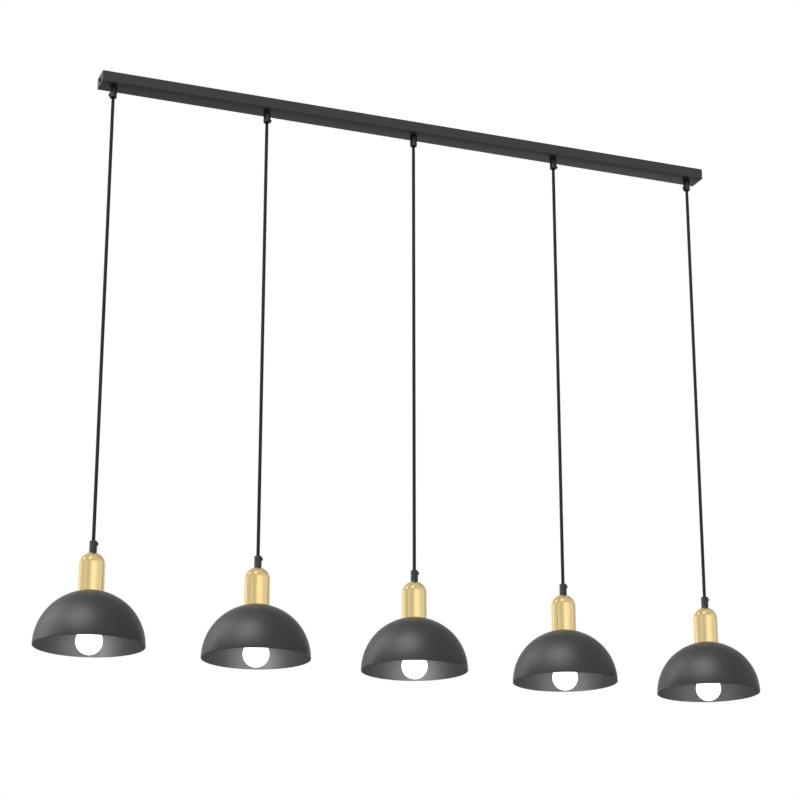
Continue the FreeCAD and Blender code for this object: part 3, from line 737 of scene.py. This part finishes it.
def opal_globe(number):
    """The bulb's globe: a ball that flows into its neck, closed under the base, and its light.

    The globe casts no shadow, so the light inside it reaches the shade.
    """
    low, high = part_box(f"bulb_globe_{number}")
    ball, neck, straight = 22.5 * MM, 13.1 * MM, 4.0 * MM
    centre = low.z + ball
    meet = math.degrees(math.acos(neck / ball))
    ball_start, ball_end = meet - 6.0, -89.0
    neck_foot = centre + ball * math.sin(math.radians(meet)) + straight
    profile = [
        (0.0, high.z),
        (neck, high.z, 0.6 * MM),
        *((neck, z) for z in np.linspace(high.z - straight, neck_foot, 6)),
        *arc(centre, ball, ball_start, ball_end, 64),
        (0.0, low.z),
    ]
    outline = softened(profile, loop=False)
    piece = turned(f"opal_globe_{number}", LAMP_X[number], outline, loop=False)
    dress(piece, f"bulb_{number}", "opal", f"bulb_globe_{number}")
    piece.visible_shadow = False
    light = bpy.data.lights.new(f"bulb_light_{number}", "POINT")
    light.energy = 0.8
    light.shadow_soft_size = ball
    glow = bpy.data.objects.new(f"bulb_light_{number}", light)
    bpy.context.scene.collection.objects.link(glow)
    glow.parent = piece
    glow.location = (LAMP_X[number], 0.0, centre)
    glow.visible_camera = False


def lower_grip(number):
    piece = eased(f"lower_cord_grip_{number}", f"lower_grip_{number}", 0.2 * MM)
    dress(piece, f"lamp_head_{number}", "grip_black", f"lower_grip_{number}")


for number in NUMBERS:
    gold_cup(number)
    charcoal_shade(number)
    threaded_lampholder(number)
    notched_ring(number)
    screw_base(number)
    opal_globe(number)
    lower_grip(number)


# ---------------------------------------------------------------- ceiling end

# each piece, the solid it stands for, its slot and the width of its eased edges
EASED_HARDWARE = (
    ("folded_canopy", "canopy_cover", "canopy_black", 0.2 * MM),
    ("bent_bracket", "ceiling_bracket", "steel", 0.2 * MM),
    ("upper_cord_grips", "upper_grips", "grip_black", 0.2 * MM),
    ("hexagon_nuts", "grip_nuts", "steel", 0.3 * MM),
    ("terminal_housing", "terminal_block", "terminal_plastic", 0.3 * MM),
)
for name, node, slot, width in EASED_HARDWARE:
    dress(eased(name, node, width), "ceiling_end", slot, node)

for part in frame["record"]["subparts"]:
    solid = frame["nodes"][part["node"]]
    solid.data.materials.clear()
    solid.data.materials.append(FINISHES[part["material_slot"]])


# ---------------------------------------------------------------- studio


def plaster(nodes, place):
    """Pale plaster, faintly cloudy."""
    cloud = nodes.noise(place, 2.0, 3.0)
    return {
        "Base Color": nodes.between(cloud, grey(0.6), grey(0.66)),
        "Roughness": cloud * 0.1 + 0.7,
    }


def studio_floor():
    """A pale disc far below, whose rings widen outwards. Reflections leave it out."""
    level, radius, count = -6.6, 12.4, 24
    rings = np.linspace(0.0, 1.0, count) ** 2 * radius
    profile = np.stack([rings, np.full(count, level)], axis=1)
    piece = turned("pale_floor", 0.0, profile, loop=False, sides=64)
    piece.data.materials.append(finish("pale_plaster", plaster))
    piece.visible_glossy = False


def direction(turn, height):
    """Unit vector to a place in the room: degrees right of the bar's front, and above the level."""
    turn, height = math.radians(turn), math.radians(height)
    level = math.cos(height)
    return Vector((math.sin(turn) * level, -math.cos(turn) * level, math.sin(height)))


# the two small lamps in the sky, which the gold mirrors
KEY_SPOT, SIDE_SPOT = direction(-44.0, 57.0), direction(-115.0, 41.0)

DAYLIGHT = (0.92, 0.96, 1.0)


def studio_sky():
    """White to the camera. To all else a soft grey room, a window in front and light behind.

    The turn is in degrees to the right of the bar's front, and the height in degrees above the
    level. The light places are added up: low ones along the walls, the two spots and a brighter
    top. Below the level the room gets dark, but for a soft glow from behind.
    """
    world = bpy.data.worlds.new("studio")
    bpy.context.scene.world = world
    world.use_nodes = True
    nodes = Nodes(world.node_tree)
    ray = nodes.add("ShaderNodeLightPath")
    ahead = nodes.add("ShaderNodeTexCoord")
    x, y, z = nodes.split(ahead)
    turn = nodes.math("ARCTAN2", x, 0.0 - y) * math.degrees(1.0)
    height = nodes.math("ARCSINE", z) * math.degrees(1.0)

    def band(start, end, before, after):
        """1 between two turns, fading over so many degrees before the one and after the other."""
        rise = nodes.steps(turn, start - before, start)
        return rise * nodes.steps(turn, end, end + after, 1.0, 0.0)

    def glow(place, near, wide):
        """1 within near of a place in the room and 0 beyond wide, in degrees."""
        settings = {"operation": "DOT_PRODUCT"}
        share = nodes.add("ShaderNodeVectorMath", settings, {0: ahead, 1: place}, out=1)
        start, end = math.cos(math.radians(wide)), math.cos(math.radians(near))
        return nodes.steps(share, start, end)

    low = nodes.steps(height, 20.0, 42.0, 1.0, 0.0)
    lowest = nodes.steps(height, 14.0, 32.0, 1.0, 0.0)
    window = band(-10.0, 8.0, 28.0, 48.0) * 0.46
    wall = band(-110.0, -64.0, 8.0, 10.0) * 0.12 + band(56.0, 70.0, 30.0, 26.0) * 0.14
    gap = band(-92.0, -88.0, 9.0, 9.0) * 0.11 + band(97.0, 100.0, 20.0, 18.0) * 0.08
    back = band(-179.0, -138.0, 1.0, 22.0) * 0.22 + band(150.0, 158.0, 44.0, 44.0) * 0.34
    edge = band(-144.0, -132.0, 8.0, 14.0) * 0.26
    spots = glow(KEY_SPOT, 0.0, 15.5) * 0.52 + glow(KEY_SPOT, 2.0, 6.0) * 1.5
    spots = spots + glow(SIDE_SPOT, 0.0, 13.0) * 0.42 + glow(SIDE_SPOT, 2.0, 6.0) * 1.5
    dim = glow(direction(135.0, 55.0), 10.0, 38.0) * 0.15
    top = nodes.steps(height, 62.0, 80.0, 0.0, 0.1)
    level = low * (window + wall - gap) + lowest * (back + edge) + spots + top - dim + 0.65
    below = nodes.steps(height, -28.0, 4.0, 0.14, 1.0)
    behind = glow(direction(138.0, -18.0), 5.0, 40.0) * 0.25
    strength = level * below + behind
    room = nodes.add("ShaderNodeBackground", None, {"Color": grey(1.0), "Strength": strength})
    plain = nodes.add("ShaderNodeBackground", None, {"Color": grey(1.0), "Strength": 1.0})
    mixed = nodes.add("ShaderNodeMixShader", None, {0: ray, 1: room, 2: plain})
    nodes.add("ShaderNodeOutputWorld", None, {"Surface": mixed})


def distant_light(name, place, width, strength):
    """A soft light far off at a place in the room, width degrees across. It leaves out the gold."""
    light = bpy.data.lights.new(name, "SUN")
    light.angle = math.radians(width)
    light.energy = strength
    light.color = DAYLIGHT
    holder = bpy.data.objects.new(name, light)
    bpy.context.scene.collection.objects.link(holder)
    holder.rotation_euler = place.to_track_quat("Z", "Y").to_euler()
    left_out = bpy.data.collections.new(f"{name}_left_out")
    holder.light_linking.receiver_collection = left_out
    for number in NUMBERS:
        left_out.objects.link(bpy.data.objects[f"gold_cup_{number}"])
    for item in left_out.collection_objects:
        item.light_linking.link_state = "EXCLUDE"


def camera():
    """The photograph's place and angle, worked out from the bar's ends and the shades' rims."""
    focal_pixels, photo_pixels, sensor = 2220.2, 800, 36.0
    upward, rightward = 18.1417, 21.0445
    data = bpy.data.cameras.new("camera")
    data.sensor_width = sensor
    data.lens = focal_pixels / photo_pixels * sensor
    data.clip_end = 100.0
    holder = bpy.data.objects.new("camera", data)
    bpy.context.scene.collection.objects.link(holder)
    holder.location = (-1.3881, -3.5377, -1.7856)
    holder.rotation_euler = (math.radians(90 + upward), 0.0, -math.radians(rightward))
    bpy.context.scene.camera = holder


studio_floor()
studio_sky()
distant_light("key_light", direction(-41.0, 49.0), width=44.0, strength=2.5)
distant_light("side_light", direction(-113.0, 32.0), width=56.0, strength=1.65)
camera()
bpy.context.scene.view_settings.view_transform = "Standard"
